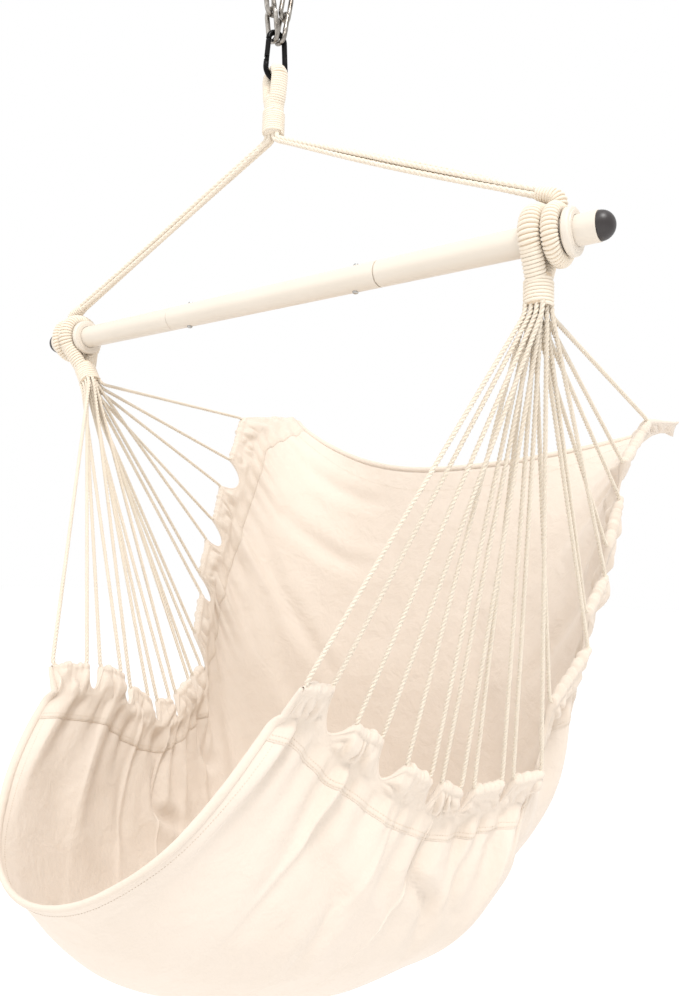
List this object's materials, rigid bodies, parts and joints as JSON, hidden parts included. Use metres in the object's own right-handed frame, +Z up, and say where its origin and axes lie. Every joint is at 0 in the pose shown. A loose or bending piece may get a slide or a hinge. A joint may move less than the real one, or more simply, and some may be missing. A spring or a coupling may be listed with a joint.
{
  "type": "hammock chair",
  "caption": "Hanging hammock chair: a cotton seat hung by cords in sleeves from a take-down bar, roped to a snap hook on a doubled chain.",
  "frame": {"origin": "midway between the inner tops of the two upper chain links, where the doubled chain hangs on from above", "axes": "+X along the bar to the right of a person sitting in the chair, +Y to the chair back, +Z up"},
  "size_m": [1, 0.908, 1.4405],
  "materials": {
    "cream_powder_coat": "satin cream powder coat on steel tube",
    "cap_plastic": "satin charcoal moulded plastic",
    "cotton_rope": "three-strand natural cotton rope and cord",
    "cotton_canvas": "ecru woven cotton canvas, matt, softly creased",
    "black_steel": "black satin coated steel",
    "chain_steel": "bright zinc-plated welded steel chain",
    "spring_steel": "plain spring steel"
  },
  "bodies": {
    "top_links": {"chain_link_left_upper": "chain_steel", "chain_link_right_upper": "chain_steel"},
    "lower_links": {"chain_link_left_lower": "chain_steel", "chain_link_right_lower": "chain_steel"},
    "snap_hook": {"carabiner_body": "black_steel"},
    "hook_gate": {"carabiner_gate": "black_steel", "carabiner_gate_pin": "black_steel", "carabiner_gate_spring": "spring_steel"},
    "hanger": {"hanger_eye": "cotton_rope", "hanger_neck_whipping": "cotton_rope", "left_hanger_ropes": "cotton_rope", "right_hanger_ropes": "cotton_rope", "left_hanger_loop": "cotton_rope", "right_hanger_loop": "cotton_rope", "bar_centre_tube": "cream_powder_coat", "bar_left_tube": "cream_powder_coat", "bar_right_tube": "cream_powder_coat", "left_stop_ring": "cream_powder_coat", "right_stop_ring": "cream_powder_coat", "left_end_cap": "cap_plastic", "right_end_cap": "cap_plastic", "left_button_spring": "spring_steel", "right_button_spring": "spring_steel"},
    "left_button_top": {"left_top_button": "spring_steel"},
    "left_button_bottom": {"left_bottom_button": "spring_steel"},
    "right_button_top": {"right_top_button": "spring_steel"},
    "right_button_bottom": {"right_bottom_button": "spring_steel"},
    "seat": {"left_seat_loop": "cotton_rope", "right_seat_loop": "cotton_rope", "left_neck_whipping": "cotton_rope", "right_neck_whipping": "cotton_rope", "seat_cloth": "cotton_canvas", "left_cord_sleeves": "cotton_canvas", "right_cord_sleeves": "cotton_canvas", "front_hem": "cotton_canvas", "back_hem": "cotton_canvas", "left_cord_01": "cotton_rope", "left_cord_02": "cotton_rope", "left_cord_03": "cotton_rope", "left_cord_04": "cotton_rope", "left_cord_05": "cotton_rope", "left_cord_06": "cotton_rope", "left_cord_07": "cotton_rope", "left_cord_08": "cotton_rope", "left_cord_09": "cotton_rope", "left_cord_10": "cotton_rope", "right_cord_01": "cotton_rope", "right_cord_02": "cotton_rope", "right_cord_03": "cotton_rope", "right_cord_04": "cotton_rope", "right_cord_05": "cotton_rope", "right_cord_06": "cotton_rope", "right_cord_07": "cotton_rope", "right_cord_08": "cotton_rope", "right_cord_09": "cotton_rope", "right_cord_10": "cotton_rope"}
  },
  "joints": [
    {"name": "link_swing", "type": "hinge", "parent": "top_links", "child": "lower_links", "pos_m": [0, 0, -0.0426], "axis": [0.342, 0.9397, 0], "range_deg": [-20, 20]},
    {"name": "hook_swing", "type": "hinge", "parent": "lower_links", "child": "snap_hook", "pos_m": [0, 0, -0.08009], "axis": [-0.9397, 0.342, 0], "range_deg": [-10, 10]},
    {"name": "gate_pivot", "type": "hinge", "parent": "snap_hook", "child": "hook_gate", "pos_m": [-0.00457, -0.01255, -0.08477], "axis": [-0.9397, 0.342, 0], "range_deg": [-15, 0], "stiffness_Nm_per_rad": 0.15, "springref_deg": 17.19},
    {"name": "hanger_swing", "type": "hinge", "parent": "snap_hook", "child": "hanger", "pos_m": [0, 0, -0.13909], "axis": [0.342, 0.9397, 0], "range_deg": [-30, 30]},
    {"name": "seat_swing", "type": "hinge", "parent": "hanger", "child": "seat", "pos_m": [0, 0, -0.46509], "axis": [1, 0, 0], "range_deg": [-25, 25]},
    {"name": "left_top_button_press", "type": "slide", "parent": "hanger", "child": "left_button_top", "axis": [0, 0, -1], "range_m": [0, 0.0045], "stiffness_N_per_m": 600, "springref_m": -0.002, "deforming": ["left_button_spring"]},
    {"name": "left_bottom_button_press", "type": "slide", "parent": "hanger", "child": "left_button_bottom", "axis": [0, 0, 1], "range_m": [0, 0.0045], "stiffness_N_per_m": 600, "springref_m": -0.002, "deforming": ["left_button_spring"]},
    {"name": "right_top_button_press", "type": "slide", "parent": "hanger", "child": "right_button_top", "axis": [0, 0, -1], "range_m": [0, 0.0045], "stiffness_N_per_m": 600, "springref_m": -0.002, "deforming": ["right_button_spring"]},
    {"name": "right_bottom_button_press", "type": "slide", "parent": "hanger", "child": "right_button_bottom", "axis": [0, 0, 1], "range_m": [0, 0.0045], "stiffness_N_per_m": 600, "springref_m": -0.002, "deforming": ["right_button_spring"]}
  ]
}
